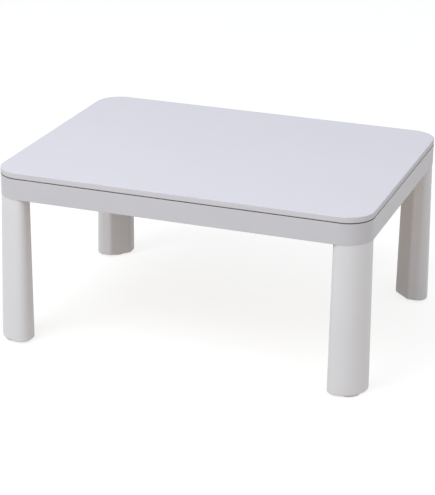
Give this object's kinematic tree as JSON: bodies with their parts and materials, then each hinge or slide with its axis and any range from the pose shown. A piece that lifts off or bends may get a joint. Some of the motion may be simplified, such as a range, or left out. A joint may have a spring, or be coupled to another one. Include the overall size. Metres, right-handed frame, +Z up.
{
  "type": "kotatsu table",
  "caption": "Rectangular white kotatsu table: a lift-off rounded board on a shallow apron frame with flared legs fixed by hand knobs, and a quartz heater under the middle",
  "frame": {"origin": "on the floor under the middle of the board", "axes": "+Z up, X along the long side of the board, front towards -Y"},
  "size_m": [0.809, 0.609, 0.382],
  "materials": {
    "board_core": "raw fibreboard",
    "board_laminate": "white satin laminate",
    "board_backing": "beige backing laminate",
    "board_edge": "white satin edge band",
    "frame_foil": "fibreboard wrapped in white foil",
    "white_moulding": "white moulded plastic, satin",
    "foot_rubber": "pale grey",
    "dark_rubber": "matte black",
    "rail_wood": "planed pine",
    "zinc_steel": "zinc plated",
    "insert_brass": "turned",
    "knob_plastic": "black moulded plastic",
    "heater_case": "dark heat-proof paint",
    "reflector_sheet": "polished",
    "bracket_steel": "bright sheet",
    "quartz": "clear quartz",
    "coil_wire": "oxidised heating wire",
    "ceramic": "glazed ceramic",
    "thermostat_body": "phenolic",
    "inlet_plastic": "black phenolic",
    "pin_brass": "bright",
    "lead_sleeve": "glass-fibre sleeve"
  },
  "bodies": {
    "frame": {"apron_front": "frame_foil", "apron_back": "frame_foil", "apron_left": "frame_foil", "apron_right": "frame_foil", "corner_block_front_left": "white_moulding", "corner_block_front_right": "white_moulding", "corner_block_back_right": "white_moulding", "corner_block_back_left": "white_moulding", "leg_front_left": "white_moulding", "leg_front_right": "white_moulding", "leg_back_right": "white_moulding", "leg_back_left": "white_moulding", "leg_cap_front_left": "white_moulding", "leg_cap_front_right": "white_moulding", "leg_cap_back_right": "white_moulding", "leg_cap_back_left": "white_moulding", "foot_pads": "foot_rubber", "top_pads": "dark_rubber", "heater_rail_left": "rail_wood", "heater_rail_right": "rail_wood", "rail_brackets": "zinc_steel", "corner_screws": "zinc_steel", "bracket_screws": "zinc_steel", "heater_screws": "zinc_steel", "case_screws": "zinc_steel", "leg_studs": "zinc_steel", "leg_inserts": "insert_brass", "heater_housing": "heater_case", "heater_guard": "heater_case", "heater_reflector": "reflector_sheet", "tube_bracket_left": "bracket_steel", "tube_bracket_right": "bracket_steel", "coil_straps": "bracket_steel", "quartz_tube_front": "quartz", "quartz_tube_back": "quartz", "heating_coil_front": "coil_wire", "heating_coil_back": "coil_wire", "ceramic_caps": "ceramic", "terminal_block": "ceramic", "thermostat": "thermostat_body", "thermal_fuse": "thermostat_body", "inlet_socket": "inlet_plastic", "inlet_pins": "pin_brass", "heater_leads": "lead_sleeve"},
    "tabletop": {"top_core": "board_core", "top_face_sheet": "board_laminate", "top_under_sheet": "board_backing", "top_edge_band": "board_edge"},
    "knob_lift_front_left": {"knob_washer_front_left": "zinc_steel"},
    "knob_front_left": {"knob_grip_front_left": "knob_plastic", "knob_nut_front_left": "zinc_steel"},
    "knob_lift_front_right": {"knob_washer_front_right": "zinc_steel"},
    "knob_front_right": {"knob_grip_front_right": "knob_plastic", "knob_nut_front_right": "zinc_steel"},
    "knob_lift_back_right": {"knob_washer_back_right": "zinc_steel"},
    "knob_back_right": {"knob_grip_back_right": "knob_plastic", "knob_nut_back_right": "zinc_steel"},
    "knob_lift_back_left": {"knob_washer_back_left": "zinc_steel"},
    "knob_back_left": {"knob_grip_back_left": "knob_plastic", "knob_nut_back_left": "zinc_steel"}
  },
  "joints": [
    {"name": "top_lift", "type": "slide", "parent": "frame", "child": "tabletop", "axis": [0, 0, 1], "range_m": [0, 0.15]},
    {"name": "knob_rise_front_left", "type": "slide", "parent": "frame", "child": "knob_lift_front_left", "axis": [0, 0, 1], "range_m": [0, 0.01]},
    {"name": "knob_turn_front_left", "type": "hinge", "parent": "knob_lift_front_left", "child": "knob_front_left", "pos_m": [-0.358, -0.258, 0.34], "axis": [0, 0, 1], "range_deg": [0, 2880]},
    {"name": "knob_rise_front_right", "type": "slide", "parent": "frame", "child": "knob_lift_front_right", "axis": [0, 0, 1], "range_m": [0, 0.01]},
    {"name": "knob_turn_front_right", "type": "hinge", "parent": "knob_lift_front_right", "child": "knob_front_right", "pos_m": [0.358, -0.258, 0.34], "axis": [0, 0, 1], "range_deg": [0, 2880]},
    {"name": "knob_rise_back_right", "type": "slide", "parent": "frame", "child": "knob_lift_back_right", "axis": [0, 0, 1], "range_m": [0, 0.01]},
    {"name": "knob_turn_back_right", "type": "hinge", "parent": "knob_lift_back_right", "child": "knob_back_right", "pos_m": [0.358, 0.258, 0.34], "axis": [0, 0, 1], "range_deg": [0, 2880]},
    {"name": "knob_rise_back_left", "type": "slide", "parent": "frame", "child": "knob_lift_back_left", "axis": [0, 0, 1], "range_m": [0, 0.01]},
    {"name": "knob_turn_back_left", "type": "hinge", "parent": "knob_lift_back_left", "child": "knob_back_left", "pos_m": [-0.358, 0.258, 0.34], "axis": [0, 0, 1], "range_deg": [0, 2880]}
  ],
  "couplings": [
    {"joint": "knob_rise_front_left", "follows": "knob_turn_front_left", "m_per_rad": 0.00019894},
    {"joint": "knob_rise_front_right", "follows": "knob_turn_front_right", "m_per_rad": 0.00019894},
    {"joint": "knob_rise_back_right", "follows": "knob_turn_back_right", "m_per_rad": 0.00019894},
    {"joint": "knob_rise_back_left", "follows": "knob_turn_back_left", "m_per_rad": 0.00019894}
  ]
}
